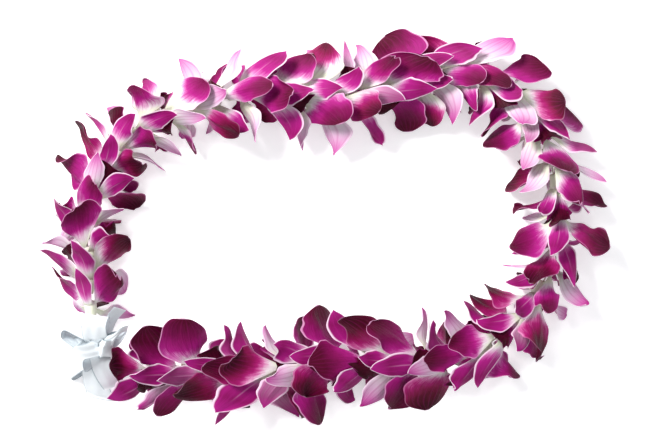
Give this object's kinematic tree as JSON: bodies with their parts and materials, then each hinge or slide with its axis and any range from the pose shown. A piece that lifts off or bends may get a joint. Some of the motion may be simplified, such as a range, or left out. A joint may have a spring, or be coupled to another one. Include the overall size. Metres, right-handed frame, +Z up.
{
  "type": "fresh flower lei",
  "caption": "Single-strand purple and white orchid lei: blooms threaded nose to tail on a closed cotton string, tied off with a looped white satin ribbon bow, lying flat.",
  "frame": {"origin": "middle of the lei's outline on the surface that it lies on", "axes": "+X along the longer way of the oval, +Y across it away from the bow, +Z up"},
  "size_m": [0.4328, 0.3006, 0.0524],
  "materials": {
    "orchid_bloom": "soft satin petal, magenta to crimson with a white base",
    "cotton_string": "matte twisted cotton",
    "satin_ribbon": "satin"
  },
  "bodies": {
    "root": {"bloom_01": "orchid_bloom", "bloom_02": "orchid_bloom", "bloom_03": "orchid_bloom", "bloom_04": "orchid_bloom", "bloom_05": "orchid_bloom", "bloom_06": "orchid_bloom", "bloom_07": "orchid_bloom", "bloom_08": "orchid_bloom", "bloom_09": "orchid_bloom", "bloom_10": "orchid_bloom", "bloom_11": "orchid_bloom", "bloom_12": "orchid_bloom", "bloom_13": "orchid_bloom", "bloom_14": "orchid_bloom", "bloom_15": "orchid_bloom", "bloom_16": "orchid_bloom", "bloom_17": "orchid_bloom", "bloom_18": "orchid_bloom", "bloom_19": "orchid_bloom", "bloom_20": "orchid_bloom", "bloom_21": "orchid_bloom", "bloom_22": "orchid_bloom", "bloom_23": "orchid_bloom", "bloom_24": "orchid_bloom", "bloom_25": "orchid_bloom", "bloom_26": "orchid_bloom", "bloom_27": "orchid_bloom", "bloom_28": "orchid_bloom", "bloom_29": "orchid_bloom", "bloom_30": "orchid_bloom", "bloom_31": "orchid_bloom", "bloom_32": "orchid_bloom", "bloom_33": "orchid_bloom", "bloom_34": "orchid_bloom", "bloom_35": "orchid_bloom", "bloom_36": "orchid_bloom", "bloom_37": "orchid_bloom", "bloom_38": "orchid_bloom", "bloom_39": "orchid_bloom", "bloom_40": "orchid_bloom", "bloom_41": "orchid_bloom", "bloom_42": "orchid_bloom", "bloom_43": "orchid_bloom", "bloom_44": "orchid_bloom", "bloom_45": "orchid_bloom", "string": "cotton_string", "bow_ribbon": "satin_ribbon"}
  },
  "joints": []
}
